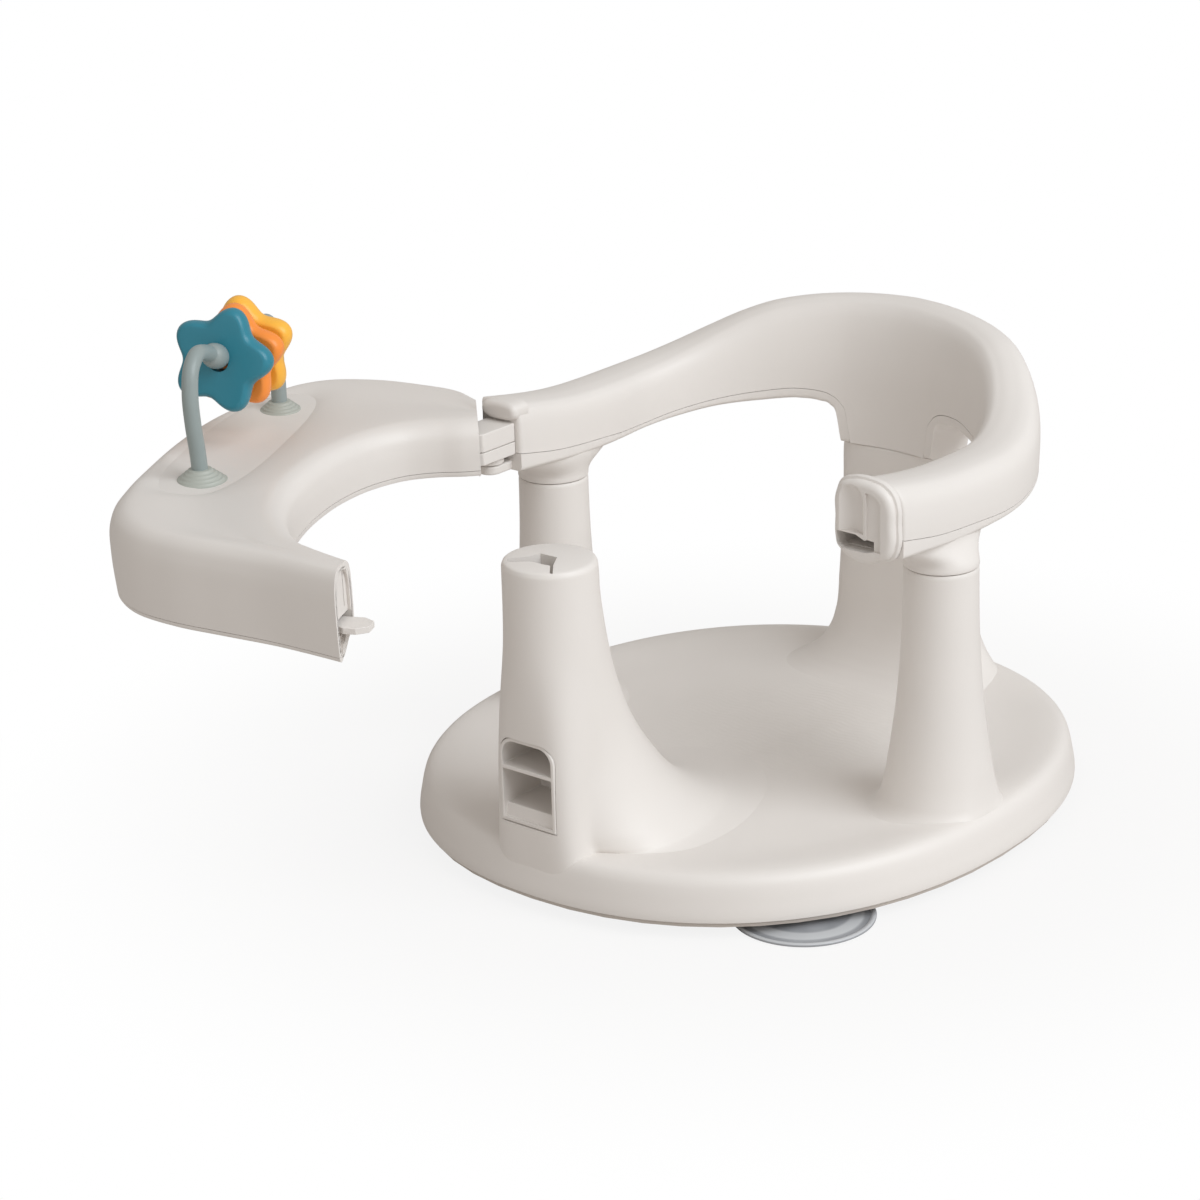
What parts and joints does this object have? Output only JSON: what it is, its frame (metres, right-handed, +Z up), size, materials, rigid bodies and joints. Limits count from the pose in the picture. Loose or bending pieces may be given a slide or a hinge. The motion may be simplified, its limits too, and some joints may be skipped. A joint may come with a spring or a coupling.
{
  "type": "baby bath seat",
  "caption": "Bath seat with an oval base on suction cups, posts carrying a ring with an arched back, and a hinged tray with a toy bar of spinning stars.",
  "frame": {"origin": "on the bath floor under the middle of the oval base", "axes": "+Z up, -Y to the front of the seat where the child's legs go, +X to the child's left, the side of the latch"},
  "size_m": [0.3956, 0.4669, 0.2736],
  "materials": {
    "beige_plastic": "satin, warm off-white",
    "base_plate_plastic": "satin, a shade darker",
    "pocket_plastic": "satin",
    "cup_rubber": "soft translucent grey",
    "rod_plastic": "smooth grey green",
    "foot_plastic": "satin grey",
    "teal_plastic": "soft gloss",
    "orange_plastic": "soft gloss",
    "yellow_plastic": "soft gloss",
    "steel": "bright zinc"
  },
  "bodies": {
    "seat": {"base_shell": "beige_plastic", "base_bottom_plate": "base_plate_plastic", "base_screws_1": "steel", "base_screws_2": "steel", "base_screws_3": "steel", "base_screws_4": "steel", "base_screws_5": "steel", "base_screws_6": "steel", "suction_cup_front_left": "cup_rubber", "suction_cup_front_right": "cup_rubber", "suction_cup_rear_left": "cup_rubber", "suction_cup_rear_right": "cup_rubber", "pocket_insert": "pocket_plastic", "ring_upper_shell": "beige_plastic", "arm_lower_shell_left": "beige_plastic", "arm_lower_shell_right": "beige_plastic", "latch_receptacle": "beige_plastic", "hinge_link_upper": "beige_plastic", "hinge_link_lower": "beige_plastic", "hinge_pin": "steel"},
    "tray": {"tray_upper_shell": "beige_plastic", "tray_lower_shell": "beige_plastic", "tray_screws_1": "steel", "tray_screws_2": "steel", "tray_screws_3": "steel", "latch_spring": "steel", "toy_rod": "rod_plastic", "toy_foot_front": "foot_plastic", "toy_foot_rear": "foot_plastic", "toy_rod_nuts_1": "steel", "toy_rod_nuts_2": "steel"},
    "tongue": {"latch_tongue": "beige_plastic"},
    "teal_star": {"star_teal": "teal_plastic"},
    "orange_star": {"star_orange": "orange_plastic"},
    "yellow_star": {"star_yellow": "yellow_plastic"}
  },
  "joints": [
    {"name": "tray_hinge", "type": "hinge", "parent": "seat", "child": "tray", "pos_m": [-0.113, -0.066, 0.19], "axis": [0, -0.025, 0.9997], "range_deg": [-3, 66]},
    {"name": "latch_tongue_slide", "type": "slide", "parent": "tray", "child": "tongue", "axis": [-0.9135, -0.4066, -0.0102], "range_m": [0, 0.008], "stiffness_N_per_m": 300, "deforming": ["latch_spring"]},
    {"name": "teal_star_spin", "type": "hinge", "parent": "tray", "child": "teal_star", "pos_m": [-0.18269, -0.18116, 0.24804], "axis": [0.4022, -0.9068, 0.1261], "continuous": true},
    {"name": "orange_star_spin", "type": "hinge", "parent": "tray", "child": "orange_star", "pos_m": [-0.1892, -0.16647, 0.24548], "axis": [0.4064, -0.9135, 0.0158], "continuous": true},
    {"name": "yellow_star_spin", "type": "hinge", "parent": "tray", "child": "yellow_star", "pos_m": [-0.1953, -0.15277, 0.24575], "axis": [0.4064, -0.9114, -0.0655], "continuous": true}
  ]
}
